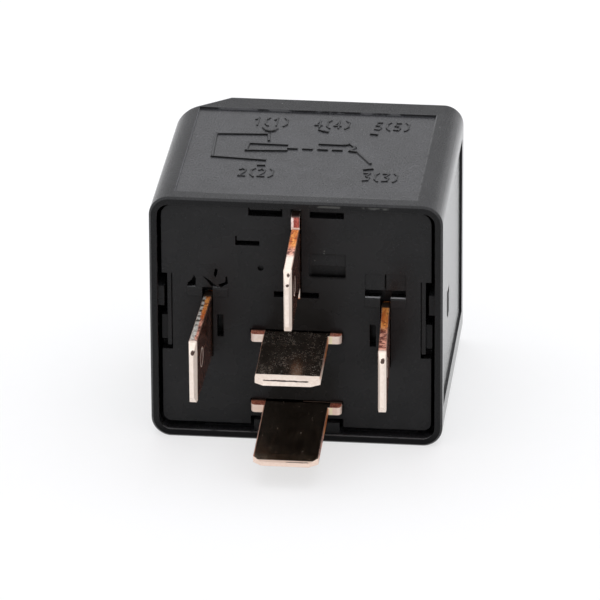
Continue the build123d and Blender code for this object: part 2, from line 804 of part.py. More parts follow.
# Yoke: an angle whose foot carries the core and whose leg carries the armature
core_axis = Axis((0, rim_y, coil_height), (0, 1, 0))
with BuildPart() as yoke:
    with BuildSketch(side_plane(0)):
        with BuildLine():
            Polyline(
                (yoke_foot_near, yoke_foot_low),
                (yoke_foot_near, yoke_outer_height),
                (pole_depth, yoke_outer_height),
                (pole_depth, yoke_inner_height),
                (yoke_foot_far, yoke_inner_height),
                (yoke_foot_far, yoke_foot_low),
                close=True,
            )
        make_face()
    extrude(amount=yoke_width / 2, both=True)
    outer_bend = yoke.edges().filter_by(Axis.X).group_by(Axis.Z)[-1].sort_by(Axis.Y)[0]
    fillet(outer_bend, yoke_bend_round)
    # Hole for the swaged core, countersunk from below
    with BuildSketch(level_plane(coil_height)):
        with BuildLine():
            Polyline(
                (0, yoke_foot_near),
                (core_swage_radius + rivet_clearance, yoke_foot_near),
                (core_neck_radius + rivet_clearance, yoke_foot_near + core_swage_depth),
                (core_neck_radius + rivet_clearance, yoke_foot_far),
                (0, yoke_foot_far),
                close=True,
            )
        make_face()
    revolve(axis=core_axis, mode=Mode.SUBTRACT)
    # Nibs that keep the armature from sliding sideways
    for side in (-1, 1):
        low, high = mirrored(side, yoke_width / 2 - nib_width, yoke_width / 2)
        nib = (low, high, yoke_inner_height, yoke_outer_height)
        block(cross_plane(pole_depth), nib, -nib_reach)
    with BuildSketch(cross_plane(yoke_foot_near)):
        with Locations((foot_rivet_x, common_height)):
            Circle(foot_rivet_radius + rivet_clearance)
    extrude(amount=-yoke_thickness, mode=Mode.SUBTRACT)
    with BuildSketch(level_plane(yoke_outer_height)):
        with Locations(*yoke_rivet_spots):
            Circle(yoke_rivet_radius + rivet_clearance)
    extrude(amount=-yoke_thickness, mode=Mode.SUBTRACT)
yoke.part.label = "yoke"
export_step(yoke.part, "parts/yoke.step")

# Core, swaged into the yoke's foot, with its pole head at the far end
with BuildPart() as core:
    with BuildSketch(level_plane(coil_height)):
        with BuildLine():
            Polyline(
                (0, yoke_foot_near),
                (core_swage_radius, yoke_foot_near),
                (core_neck_radius, yoke_foot_near + core_swage_depth),
                (core_neck_radius, yoke_foot_far),
                (core_radius, yoke_foot_far),
                (core_radius, pole_back),
                (pole_radius, pole_back),
                (pole_radius, pole_depth),
                (0, pole_depth),
                close=True,
            )
        make_face()
    revolve(axis=core_axis)
core.part.label = "core"
export_step(core.part, "parts/core.step")

# Bobbin
with BuildPart() as bobbin:
    for near, far in ((bobbin_near, winding_near), (winding_far, bobbin_far)):
        with BuildSketch(cross_plane(near)):
            with Locations((0, coil_height)):
                RectangleRounded(bobbin_flange_width, bobbin_flange_height, bobbin_flange_corner)
        extrude(amount=near - far)
    with BuildSketch(cross_plane(bobbin_near)):
        with Locations((0, coil_height)):
            Circle(bobbin_tube_radius)
    extrude(amount=bobbin_near - bobbin_far)
    with BuildSketch(cross_plane(bobbin_near)):
        with Locations((0, coil_height)):
            Circle(bobbin_bore_radius)
    extrude(amount=bobbin_near - bobbin_far, mode=Mode.SUBTRACT)
bobbin.part.label = "bobbin"
export_step(bobbin.part, "parts/bobbin.step")

# Winding
with BuildPart() as coil_winding:
    with BuildSketch(cross_plane(winding_near)):
        with Locations((0, coil_height)):
            Circle(winding_radius)
            Circle(bobbin_tube_radius, mode=Mode.SUBTRACT)
    extrude(amount=winding_near - winding_far)
coil_winding.part.label = "coil_winding"
export_step(coil_winding.part, "parts/coil_winding.step")

# Armature, a flat iron that rocks on the yoke's end
with BuildPart() as armature:
    with BuildSketch(leaning_plane(0, 0)) as outline:
        centre, width, height = spot(
            -armature_width / 2, armature_width / 2, armature_end_gap, armature_length
        )
        with Locations(centre):
            Rectangle(width, height)
        chamfer(outline.vertices().group_by(Axis.Y)[-1], armature_edge_round)
        ear_notch_inside = yoke_width / 2 - nib_width - nib_clearance
        notch_length = yoke_thickness + nib_clearance
        for side in (-1, 1):
            low, high = mirrored(side, ear_notch_inside, armature_width)
            centre, width, height = spot(low, high, -notch_length, notch_length)
            with Locations(centre):
                Rectangle(width, height, mode=Mode.SUBTRACT)
        rivet_spots = (
            (-armature_rivet_spacing / 2, armature_rivet_station),
            (armature_rivet_spacing / 2, armature_rivet_station),
        )
        with Locations(*rivet_spots):
            Circle(armature_rivet_radius + rivet_clearance, mode=Mode.SUBTRACT)
    extrude(amount=armature_thickness)
    hinge_edge = armature.edges().filter_by(Axis.X).group_by(Axis.Z)[-1].sort_by(Axis.Y)[-1]
    fillet(hinge_edge, armature_edge_round)
armature.part.label = "armature"
export_step(armature.part, "parts/armature.step")

# Leaf spring: riveted to the yoke, bent over its end and riveted to the armature
leaf_rise = armature_thickness + leaf_thickness / 2
arc_turn = 90 - open_angle
arc_rise = leaf_bend_radius * sin(radians(arc_turn))
arc_drop = leaf_bend_radius * (1 - cos(radians(arc_turn)))
arc_start = (
    pivot_depth + (leaf_rise - (leaf_thickness / 2 - arc_drop) * open_sin) / open_cos - arc_rise
)
leaf_length = contact_station + leaf_tip_margin
with BuildPart() as contact_spring:
    with BuildSketch(side_plane(0)):
        with BuildLine():
            on_yoke = Line(
                (arc_start - leaf_seat_length, yoke_outer_height + leaf_thickness / 2),
                (arc_start, yoke_outer_height + leaf_thickness / 2),
            )
            over_end = JernArc(
                start=on_yoke @ 1, tangent=on_yoke % 1, radius=leaf_bend_radius, arc_size=-arc_turn
            )
            Line(
                over_end @ 1,
                (
                    pivot_depth + leaf_length * open_sin + leaf_rise * open_cos,
                    yoke_outer_height - leaf_length * open_cos + leaf_rise * open_sin,
                ),
            )
        trace(line_width=leaf_thickness)
    extrude(amount=leaf_width / 2, both=True)
    # The free end narrows to the contact
    taper_start = armature_length - armature_edge_round
    for side in (-1, 1):
        with BuildSketch(leaning_plane(0, armature_thickness - leaf_thickness)):
            with BuildLine():
                Polyline(
                    (side * leaf_width / 2, taper_start),
                    (side * leaf_tip_width / 2, contact_station - leaf_tip_margin),
                    (side * leaf_tip_width / 2, leaf_length + leaf_tip_margin),
                    (side * leaf_width, leaf_length + leaf_tip_margin),
                    (side * leaf_width, taper_start),
                    close=True,
                )
            make_face()
        extrude(amount=3 * leaf_thickness, mode=Mode.SUBTRACT)
    with BuildSketch(leaning_plane(0, armature_thickness - leaf_thickness)):
        with Locations(*rivet_spots):
            Circle(armature_rivet_radius + rivet_clearance)
        with Locations((0, contact_station)):
            Circle(contact_shank_radius + rivet_clearance)
    extrude(amount=3 * leaf_thickness, mode=Mode.SUBTRACT)
    with BuildSketch(level_plane(yoke_outer_height - leaf_thickness)):
        with Locations(*yoke_rivet_spots):
            Circle(yoke_rivet_radius + rivet_clearance)
    extrude(amount=3 * leaf_thickness, mode=Mode.SUBTRACT)
contact_spring.part.label = "contact_spring"
export_step(contact_spring.part, "parts/contact_spring.step")

with BuildPart() as armature_rivets:
    with BuildSketch(leaning_plane(0, armature_thickness + leaf_thickness)):
        with Locations(*rivet_spots):
            Circle(armature_rivet_radius)
    extrude(amount=-armature_thickness - leaf_thickness)
    with BuildSketch(leaning_plane(0, armature_thickness + leaf_thickness)):
        with Locations(*rivet_spots):
            Circle(armature_rivet_radius + rivet_head_margin)
    extrude(amount=rivet_head_height)
armature_rivets.part.label = "armature_rivets"
export_step(armature_rivets.part, "parts/armature_rivets.step")

with BuildPart() as yoke_rivets:
    with BuildSketch(level_plane(yoke_outer_height + leaf_thickness)):
        with Locations(*yoke_rivet_spots):
            Circle(yoke_rivet_radius)
    extrude(amount=-yoke_thickness - leaf_thickness)
    with BuildSketch(level_plane(yoke_outer_height + leaf_thickness)):
        with Locations(*yoke_rivet_spots):
            Circle(yoke_rivet_radius + rivet_head_margin)
    extrude(amount=rivet_head_height)
yoke_rivets.part.label = "yoke_rivets"
export_step(yoke_rivets.part, "parts/yoke_rivets.step")

# Moving contact: one rivet with a domed head each side of the leaf
with BuildPart() as moving_contact:
    contact_plane = leaning_plane(contact_station, 0)
    contact_side = Plane(origin=contact_plane.origin, x_dir=(1, 0, 0), z_dir=-contact_plane.y_dir)
    with BuildSketch(contact_side):
        with BuildLine():
            Polyline(
                (0, contact_bottom),
                (contact_crown, contact_bottom),
                (contact_radius, contact_bottom + contact_dome),
                (contact_radius, armature_thickness),
                (contact_shank_radius, armature_thickness),
                (contact_shank_radius, armature_thickness + leaf_thickness),
                (contact_radius, armature_thickness + leaf_thickness),
                (contact_radius, contact_top - contact_dome),
                (contact_crown, contact_top),
                (0, contact_top),
                close=True,
            )
        make_face()
    revolve(axis=Axis(contact_plane.origin, contact_plane.z_dir))
moving_contact.part.label = "moving_contact"
export_step(moving_contact.part, "parts/moving_contact.step")


def fixed_contact(face_depth, into):
    """Fixed contact: a button whose shank passes the terminal's tab and is headed behind it."""
    tab_face = face_depth + into * fixed_contact_head
    tab_back = tab_face + into * blade_thickness
    steps = (
        (face_depth, contact_radius, fixed_contact_head),
        (tab_face, contact_shank_radius, blade_thickness),
        (tab_back, contact_shank_radius + rivet_head_margin, fixed_contact_tail),
    )
    for start, radius, length in steps:
        with BuildSketch(cross_plane(start)) as step:
            with Locations((0, contact_height)):
                Circle(radius)
        extrude(step.sketch, amount=-into * length)


with BuildPart() as open_contact:
    fixed_contact(open_contact_face, -1)
open_contact.part.label = "open_contact"
export_step(open_contact.part, "parts/open_contact.step")

with BuildPart() as closed_contact:
    fixed_contact(closed_contact_face, 1)
closed_contact.part.label = "closed_contact"
export_step(closed_contact.part, "parts/closed_contact.step")

# Suppression resistor, across the two coil terminals
resistor_axis = Axis((0, rim_y + resistor_depth, resistor_height), (1, 0, 0))
with BuildPart() as suppression_resistor:
    with BuildSketch(level_plane(resistor_height)):
        with BuildLine():
            half = resistor_length / 2
            waist_half = half - resistor_cap_length
            Polyline(
                (-half, resistor_depth),
                (-half, resistor_depth + resistor_radius),
                (-waist_half, resistor_depth + resistor_radius),
                (-waist_half, resistor_depth + resistor_waist),
                (waist_half, resistor_depth + resistor_waist),
                (waist_half, resistor_depth + resistor_radius),
                (half, resistor_depth + resistor_radius),
                (half, resistor_depth),
                close=True,
            )
        make_face()
    revolve(axis=resistor_axis)
suppression_resistor.part.label = "suppression_resistor"
export_step(suppression_resistor.part, "parts/suppression_resistor.step")


def straight_wire(side, start_x, end_x, depth, height, radius):
    """Straight wire along X on one side of the relay."""
    wire_plane = Plane(
        origin=(side * start_x, rim_y + depth, height), x_dir=(0, 1, 0), z_dir=(side, 0, 0)
    )
    with BuildSketch(wire_plane) as outline:
        Circle(radius)
    extrude(outline.sketch, amount=end_x - start_x)


wire_end = coil_blade_x + blade_thickness / 2 + wire_overhang
coil_wire_depth = coil_post_depth - post_notch_extra
for side, number in ((-1, "85"), (1, "86")):
    with BuildPart() as resistor_lead:
        straight_wire(
            side, resistor_length / 2, wire_end, resistor_depth, resistor_height, resistor_lead_radius
        )
    resistor_lead.part.label = "resistor_lead_" + number
    export_step(resistor_lead.part, "parts/resistor_lead_" + number + ".step")

    wire_height = coil_post_height(side)
    wire_start = (winding_radius**2 - (coil_height - wire_height) ** 2) ** 0.5 + winding_touch
    with BuildPart() as coil_lead:
        straight_wire(side, wire_start, wire_end, coil_wire_depth, wire_height, coil_wire_radius)
    coil_lead.part.label = "coil_lead_" + number
    export_step(coil_lead.part, "parts/coil_lead_" + number + ".step")
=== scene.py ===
import json
import math

import bpy
from mathutils import Matrix, Vector


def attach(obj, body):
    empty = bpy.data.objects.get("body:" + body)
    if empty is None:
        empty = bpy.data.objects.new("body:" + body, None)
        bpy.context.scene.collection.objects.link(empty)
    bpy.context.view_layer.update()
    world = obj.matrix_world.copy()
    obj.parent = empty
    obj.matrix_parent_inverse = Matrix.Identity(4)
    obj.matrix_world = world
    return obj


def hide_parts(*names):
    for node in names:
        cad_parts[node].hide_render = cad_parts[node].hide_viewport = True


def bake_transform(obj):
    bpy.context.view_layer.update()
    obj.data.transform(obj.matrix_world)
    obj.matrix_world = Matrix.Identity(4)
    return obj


# The relay lies on its side on a pale table, blades towards the camera. Metres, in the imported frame.
MM = 0.001
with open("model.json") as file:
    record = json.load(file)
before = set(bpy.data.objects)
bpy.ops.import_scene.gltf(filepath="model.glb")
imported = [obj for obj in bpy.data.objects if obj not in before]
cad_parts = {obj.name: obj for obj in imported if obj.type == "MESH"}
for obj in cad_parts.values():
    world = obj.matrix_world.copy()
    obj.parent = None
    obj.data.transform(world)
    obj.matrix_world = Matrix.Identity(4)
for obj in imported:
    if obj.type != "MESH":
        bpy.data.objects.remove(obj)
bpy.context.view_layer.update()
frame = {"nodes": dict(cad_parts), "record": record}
nodes = frame["nodes"]


# ---------------------------------------------------------------- materials

class Finish:
    """One procedural material, with short words for the shader nodes it needs."""

    def __init__(self, name):
        self.material = bpy.data.materials.new(name)
        self.material.use_nodes = True
        self.tree = self.material.node_tree
        self.tree.nodes.clear()
        self.out = self.add("ShaderNodeOutputMaterial")
        self.surface = self.add("ShaderNodeBsdfPrincipled")
        self.tree.links.new(self.surface.outputs[0], self.out.inputs[0])
        self.place = self.add("ShaderNodeTexCoord").outputs["Object"]
        self.facing = self.add("ShaderNodeNewGeometry").outputs["True Normal"]
        self.place_parts = None

    def add(self, kind, **settings):
        node = self.tree.nodes.new(kind)
        for key, value in settings.items():
            setattr(node, key, value)
        return node

    def feed(self, socket, value):
        if isinstance(value, bpy.types.NodeSocket):
            self.tree.links.new(value, socket)
        elif socket.type == "RGBA" and len(value) == 3:
            socket.default_value = (*value, 1.0)
        else:
            socket.default_value = value

    def set(self, **values):
        for key, value in values.items():
            self.feed(self.surface.inputs[key.replace("_", " ")], value)
        return self

    def math(self, operation, a, b=0.0):
        node = self.add("ShaderNodeMath", operation=operation)
        self.feed(node.inputs[0], a)
        self.feed(node.inputs[1], b)
        return node.outputs[0]

    def product(self, first, *others):
        for other in others:
            first = self.math("MULTIPLY", first, other)
        return first

    def either(self, first, *others):
        for other in others:
            first = self.math("MAXIMUM", first, other)
        return first

    def flip(self, value):
        return self.math("SUBTRACT", 1.0, value)

    def mix(self, share, a, b):
        node = self.add("ShaderNodeMix", data_type="RGBA")
        self.feed(node.inputs[0], share)
        self.feed(node.inputs[6], a)
        self.feed(node.inputs[7], b)
        return node.outputs[2]

    def blend(self, share, a, b):
        node = self.add("ShaderNodeMix", data_type="FLOAT")
        self.feed(node.inputs[0], share)
        self.feed(node.inputs[2], a)
        self.feed(node.inputs[3], b)
        return node.outputs[0]

    def ramp(self, value, low, high, start=0.0, end=1.0):
        node = self.add("ShaderNodeMapRange", interpolation_type="SMOOTHSTEP")
        for socket, entry in zip(node.inputs, (value, low, high, start, end)):
            self.feed(socket, entry)
        return node.outputs[0]

    def stretched(self, x, y, z):
        node = self.add("ShaderNodeMapping")
        self.feed(node.inputs["Vector"], self.place)
        node.inputs["Scale"].default_value = (x, y, z)
        return node.outputs[0]

    def noise(self, size, detail=3.0, roughness=0.55, vector=None):
        """Cloudy pattern whose blobs are about size millimetres across."""
        node = self.add("ShaderNodeTexNoise")
        self.feed(node.inputs["Vector"], vector or self.place)
        node.inputs["Scale"].default_value = 1.0 / (size * MM)
        node.inputs["Detail"].default_value = detail
        node.inputs["Roughness"].default_value = roughness
        return node.outputs[0]

    def cells(self, size):
        """Distance to the nearest of points scattered about size millimetres apart, and its colour."""
        node = self.add("ShaderNodeTexVoronoi")
        self.feed(node.inputs["Vector"], self.place)
        node.inputs["Scale"].default_value = 1.0 / (size * MM)
        return node.outputs["Distance"], node.outputs["Color"]

    def parts(self, vector):
        node = self.add("ShaderNodeSeparateXYZ")
        self.feed(node.inputs[0], vector)
        return node.outputs

    def along(self, axis):
        """Place along an axis in millimetres."""
        if self.place_parts is None:
            self.place_parts = self.parts(self.place)
        return self.math("DIVIDE", self.place_parts["XYZ".index(axis)], MM)

    def faces(self, axis, low=0.6, high=0.8):
        """One where the surface faces along the axis, either way."""
        part = self.math("ABSOLUTE", self.parts(self.facing)["XYZ".index(axis)])
        return self.ramp(part, low, high)

    def between(self, value, low, high, soft):
        rise = self.ramp(value, low - soft, low + soft)
        return self.product(rise, self.ramp(value, high - soft, high + soft, 1.0, 0.0))

    def spot(self, x=None, y=None, z=None, soft=0.05):
        """One inside the given ranges of place, in millimetres."""
        masks = [
            self.between(self.along(axis), limits[0], limits[1], soft)
            for axis, limits in (("X", x), ("Y", y), ("Z", z)) if limits
        ]
        return self.product(*masks)

    def away(self, **point):
        """Distance in millimetres from a point, along the axes given."""
        total = 0.0
        for axis, value in point.items():
            gap = self.math("SUBTRACT", self.along(axis.upper()), value)
            total = self.math("ADD", self.product(gap, gap), total)
        return self.math("SQRT", total)

    def grain(self, height, depth, edge=0.05):
        """Fine relief, depth in millimetres, over edges rounded by edge millimetres."""
        bump = self.add("ShaderNodeBump")
        bump.inputs["Distance"].default_value = depth * MM
        self.feed(bump.inputs["Height"], height)
        if edge:
            rounded = self.add("ShaderNodeBevel", samples=4)
            rounded.inputs["Radius"].default_value = edge * MM
            self.feed(bump.inputs["Normal"], rounded.outputs[0])
        self.feed(self.surface.inputs["Normal"], bump.outputs[0])
        return self

    def lit_edges(self, reach):
        """One along edges, fading within reach millimetres; it marks where highlights are painted along
        edges.
        """
        rounded = self.add("ShaderNodeBevel", samples=6)
        rounded.inputs["Radius"].default_value = reach * MM
        turn = self.add("ShaderNodeVectorMath", operation="DOT_PRODUCT")
        self.feed(turn.inputs[0], rounded.outputs[0])
        self.feed(turn.inputs[1], self.facing)
        return self.ramp(turn.outputs["Value"], 0.8, 0.995, 1.0, 0.0)


def cover_finish():
    f = Finish("cover_plastic")
    grain = f.noise(0.12, 4.0, 0.7)
    cloud = f.noise(3.5, 3.0)
    smear = f.noise(1.1, 5.0, 0.65)
    turn = f.parts(f.facing)
    up = f.ramp(turn[2], 0.6, 0.9)
    ahead = f.ramp(turn[1], -0.7, -0.9)
    on_top = f.ramp(f.along("Z"), 23.9, 24.1)
    panel = f.product(up, f.spot(x=(-11.68, 11.38), y=(-5.58, 14.98), soft=0.03))
    tone = f.mix(f.ramp(cloud, 0.3, 0.7), (0.013, 0.013, 0.014), (0.019, 0.019, 0.02))
    tone = f.mix(f.product(up, f.ramp(smear, 0.35, 0.75), 0.3), tone, (0.03, 0.03, 0.031))
    panel_tone = f.mix(f.ramp(cloud, 0.35, 0.65), (0.024, 0.024, 0.026), (0.032, 0.032, 0.035))
    tone = f.mix(panel, tone, panel_tone)
    # Painted shade: faces turned towards the blades are darkened
    tone = f.mix(ahead, tone, (0.0065, 0.0065, 0.0067))
    tone = f.mix(f.product(f.ramp(grain, 0.55, 0.75), 0.2), tone, (0.05, 0.05, 0.052))
    # Painted highlights on the walls of the top panel, broken on the far wall, and the painted highlight
    # line along its right edge
    sill = f.product(on_top, f.flip(up))
    left_wall_highlight = f.product(sill, f.ramp(turn[0], 0.6, 0.8), f.spot(x=(-12.1, -11.4), soft=0.05))
    tone = f.mix(left_wall_highlight, tone, (0.3, 0.3, 0.31))
    far_wall_highlight = f.product(sill, ahead, f.spot(y=(14.5, 15.5), soft=0.05))
    broken = f.ramp(f.noise(2.4, 4.0), 0.5, 0.58)
    tone = f.mix(far_wall_highlight, tone, f.mix(broken, (0.022, 0.022, 0.023), (0.12, 0.12, 0.122)))
    # Painted highlight: pale streaks inside the rim's upper edge
    streak = f.ramp(f.noise(1.6, 3.0), 0.38, 0.46)
    streak = f.product(streak, ahead, f.spot(x=(1.3, 9.0), z=(24.5, 24.7), soft=0.05))
    tone = f.mix(f.product(streak, 0.8), tone, (0.07, 0.07, 0.064))
    # Painted highlight lines along the top panel's right and near edges
    highlight_line = f.product(up, f.spot(x=(11.4, 11.5), y=(-5.7, 14.9), soft=0.03), f.ramp(smear, 0.3, 0.5))
    highlight_line = f.either(highlight_line, f.product(up, f.spot(x=(-9.0, 11.4), y=(-5.72, -5.62), soft=0.03)))
    tone = f.mix(f.product(highlight_line, 0.6), tone, (0.13, 0.13, 0.13))
    # Painted highlight along the rim's lower inner edge
    lip_highlight = f.product(up, f.spot(y=(-7.25, -6.95), z=(0.5, 1.1)), f.ramp(smear, 0.3, 0.5))
    tone = f.mix(f.product(lip_highlight, 0.8), tone, (0.16, 0.16, 0.16))
    # Painted highlight along the cover's edges, broken up
    edge = f.product(f.lit_edges(0.07), f.ramp(smear, 0.42, 0.6))
    tone = f.mix(f.product(edge, 0.35), tone, (0.11, 0.11, 0.11))
    distance, pick = f.cells(0.75)
    chosen = f.ramp(f.parts(pick)[0], 0.955, 0.965)
    dust = f.product(f.ramp(distance, 0.05, 0.1, 1.0, 0.0), chosen, up, f.flip(f.product(panel, 0.7)))
    tone = f.mix(f.product(dust, 0.8), tone, (0.5, 0.49, 0.47))
    side = f.ramp(f.math("ABSOLUTE", turn[0]), 0.8, 0.95)
    satin = f.blend(f.ramp(grain, 0.3, 0.8), 0.25, 0.34)
    f.set(Base_Color=tone, Roughness=f.blend(side, satin, 0.17), IOR=1.5)
    behind = f.ramp(f.along("Y"), 15.2, 15.4)
    gloss = f.blend(up, 0.4, f.blend(panel, f.blend(behind, 0.15, 0.12), 0.3))
    gloss = f.blend(side, gloss, 0.62)
    low = f.ramp(f.along("Z"), 0.4, 2.0)
    f.set(Specular_IOR_Level=f.blend(ahead, f.blend(left_wall_highlight, gloss, 0.0), f.blend(low, 0.06, 0.16)))
    return f.grain(f.math("ADD", f.product(grain, 0.7), f.product(dust, 0.5)), 0.009, 0.07).material


def base_finish():
    f = Finish("base_plastic")
    grain = f.noise(0.2, 4.0, 0.6)
    cloud = f.noise(2.5, 3.0)
    turn = f.parts(f.facing)
    tone = f.mix(f.ramp(cloud, 0.3, 0.7), (0.006, 0.006, 0.0062), (0.0095, 0.0092, 0.0095))
    # The front edge of each bar catches the light, unevenly on the left one
    smear = f.noise(0.8, 4.0)
    ledge = f.product(f.ramp(turn[2], 0.8, 0.95), f.spot(y=(-6.72, -6.35), z=(14.0, 17.0), soft=0.03))
    whole = f.either(
        f.product(f.ramp(smear, 0.46, 0.6, 0.05, 0.45), f.ramp(f.along("X"), -6.0, -5.0, 1.0, 0.0)),
        f.product(f.ramp(smear, 0.25, 0.45), f.ramp(f.along("X"), 5.0, 6.0)),
    )
    tone = f.mix(f.product(ledge, whole, 0.9), tone, (0.4, 0.4, 0.4))
    # Painted highlight along the base's edges, broken up
    edge = f.product(f.lit_edges(0.06), f.ramp(f.noise(0.6, 3.0), 0.45, 0.62))
    tone = f.mix(f.product(edge, 0.25), tone, (0.08, 0.08, 0.08))
    # Date window with painted shade darkening its lower part, and its specks
    window_shade = f.spot(x=(1.4, 4.7), z=(17.0, 18.6), soft=0.15)
    window_shade = f.product(window_shade, f.ramp(f.along("Z"), 17.1, 18.4, 1.0, 0.0))
    tone = f.mix(f.product(window_shade, 0.8), tone, (0.001, 0.001, 0.001))
    distance, pick = f.cells(0.45)
    marked = f.product(f.ramp(distance, 0.15, 0.25, 1.0, 0.0), f.ramp(f.parts(pick)[0], 0.6, 0.65))
    marked = f.product(marked, f.spot(x=(1.4, 4.7), z=(18.2, 19.9), soft=0.15))
    tone = f.mix(f.product(marked, 0.7), tone, (0.13, 0.13, 0.12))
    distance, pick = f.cells(0.9)
    dust = f.product(f.ramp(distance, 0.05, 0.1, 1.0, 0.0), f.ramp(f.parts(pick)[1], 0.95, 0.96))
    tone = f.mix(f.product(dust, 0.8), tone, (0.4, 0.39, 0.37))
    f.set(Base_Color=tone, Roughness=f.blend(f.ramp(cloud, 0.3, 0.7), 0.22, 0.32), IOR=1.5)
    # Painted shade: corners and the places under the blades stay dull, their specular level lowered by
    # ambient occlusion
    ao_shade = f.add("ShaderNodeAmbientOcclusion", samples=4)
    ao_shade.inputs["Distance"].default_value = 8 * MM
    shine = f.ramp(ao_shade.outputs["AO"], 0.3, 0.85, 0.3, 1.0)
    f.set(Specular_IOR_Level=f.product(f.blend(window_shade, 0.23, 0.09), shine))
    return f.grain(grain, 0.008, 0.06).material


def blade_finish(
    name, broad, marks=(), seam=None, ridges=None, hole=None,
    pale_from=-16.57, lead_from=-16.5, blush=0.0, red_from=40.0, dusty=0.9, film_share=1.0,
):
    """Plated copper strip, cut from the sheet: mirror faces, bare and streaked cut edges; pale tips
    partly a painted reflection, painted highlights on edges and hole rims, painted shade in holes and in
    the base's slot.
    """
    f = Finish(name)
    face = f.faces(broad)
    cut = f.flip(face)
    tip = f.product(f.faces("Y", 0.8, 0.9), f.ramp(f.along("Y"), -7.1, -7.0, 1.0, 0.0))
    cloud = f.noise(1.4, 3.0)
    speck = f.noise(0.16, 4.0, 0.75)
    reach = f.math("ADD", f.along("Y"), f.product(f.math("SUBTRACT", speck, 0.5), 1.5))
    coined = f.either(
        f.ramp(f.along("Y"), -16.62, -16.52, 1.0, 0.0),
        f.product(cut, f.ramp(reach, pale_from - 0.6, pale_from + 0.6, 1.0, 0.0)),
    )
    streak = f.noise(0.35, 4.0, 0.65, f.stretched(1.0, 0.1, 1.0))
    plated = f.mix(f.ramp(cloud, 0.3, 0.7), (0.34, 0.27, 0.21), (0.48, 0.39, 0.31))
    # Bare copper is orange near the base and a speckled dark red further out
    blotch = f.noise(0.38, 3.0, 0.7)
    orange = f.mix(f.ramp(streak, 0.4, 0.62), (0.6, 0.15, 0.03), (0.95, 0.4, 0.1))
    orange = f.mix(f.ramp(blotch, 0.5, 0.62), orange, (0.3, 0.06, 0.02))
    ruddy = f.mix(f.ramp(blotch, 0.4, 0.58), (0.85, 0.4, 0.28), (0.12, 0.025, 0.02))
    bare = f.mix(f.ramp(f.math("ADD", reach, cloud), -12.0, -10.4, 1.0, 0.0), orange, ruddy)
    # Pale tips and lead-ins: partly the satin coined metal, partly a painted reflection of the bright
    # surroundings
    pale = f.mix(f.ramp(f.noise(0.3, 4.0), 0.3, 0.7), (0.86, 0.73, 0.62), (0.93, 0.81, 0.71))
    lead = f.ramp(f.along("Y"), lead_from, lead_from - 0.1)
    white = f.either(tip, f.product(coined, f.either(cut, lead)))
    pale = f.mix(blush, pale, (0.86, 0.6, 0.47))
    tone = f.mix(cut, plated, bare)
    tone = f.mix(white, tone, pale)
    polish = f.blend(cut, f.ramp(streak, 0.3, 0.8, 0.16, 0.28), 0.45)
    rough = f.blend(white, polish, 0.5)
    metal = f.blend(cut, 1.0, 0.4)
    height = f.product(streak, 0.3)
    red = f.product(cut, f.ramp(f.along("Z"), red_from, red_from + 0.15))
    tone = f.mix(red, tone, f.mix(f.ramp(speck, 0.4, 0.6), (0.2, 0.03, 0.025), (0.55, 0.13, 0.09)))
    glint = f.product(red, f.ramp(f.along("X"), -0.08, -0.16), f.ramp(streak, 0.4, 0.5))
    tone = f.mix(glint, tone, (0.9, 0.75, 0.68))
    sunk = f.product(red, f.ramp(f.along("Z"), red_from + 0.95, red_from + 1.15))
    tone = f.mix(sunk, tone, (0.03, 0.015, 0.012))
    if broad == "Z":
        # Stop ears beside the blade: copper tops, and a yellowish facet where the right one starts
        ear = f.flip(f.spot(x=(-3.0, 3.25), soft=0.03))
        copper = f.mix(f.ramp(speck, 0.4, 0.6), (0.25, 0.05, 0.035), (0.66, 0.24, 0.14))
        tone = f.mix(f.product(ear, face), tone, copper)
        metal = f.blend(f.product(ear, face), metal, 0.3)
        rough = f.blend(f.product(ear, face), rough, 0.5)
        tone = f.mix(f.product(ear, cut), tone, pale)
        facet = f.product(tip, f.flip(coined), f.spot(x=(3.2, 3.5), soft=0.04))
        tone = f.mix(facet, tone, (0.92, 0.88, 0.6))
    else:
        metal = f.blend(face, metal, 0.93)
        tone = f.mix(f.product(face, f.flip(coined)), tone, (0.5, 0.2, 0.13))
    if hole:
        # Painted shade inside the hole, and a painted highlight round its rim
        centre = f.away(y=hole[0], z=hole[1])
        bore_shade = f.product(cut, f.ramp(centre, 0.9, 1.0, 1.0, 0.0))
        tone = f.mix(bore_shade, tone, (0.07, 0.03, 0.02))
        ring = f.product(face, f.between(centre, 0.8, 0.97, 0.02), f.ramp(cloud, 0.3, 0.5))
        tone = f.mix(ring, tone, (0.95, 0.8, 0.7))
        rough = f.blend(ring, rough, 0.5)
        metal = f.blend(ring, metal, 0.2)
        white = f.product(white, f.flip(bore_shade))
    # Painted highlight along the blade's edges
    outline = f.product(f.lit_edges(0.06), f.ramp(f.noise(0.4, 3.0), 0.3, 0.5))
    tone = f.mix(f.product(outline, 0.8), tone, (0.95, 0.8, 0.7))
    rough = f.blend(outline, rough, 0.5)
    for x, z, size in marks:
        ragged = f.math("ADD", f.away(x=x, z=z), f.product(f.math("SUBTRACT", speck, 0.5), 0.3))
        dent = f.product(f.ramp(ragged, size, size + 0.06, 1.0, 0.0), coined)
        tone = f.mix(dent, tone, (0.06, 0.03, 0.02))
        height = f.math("SUBTRACT", height, dent)
    if seam:
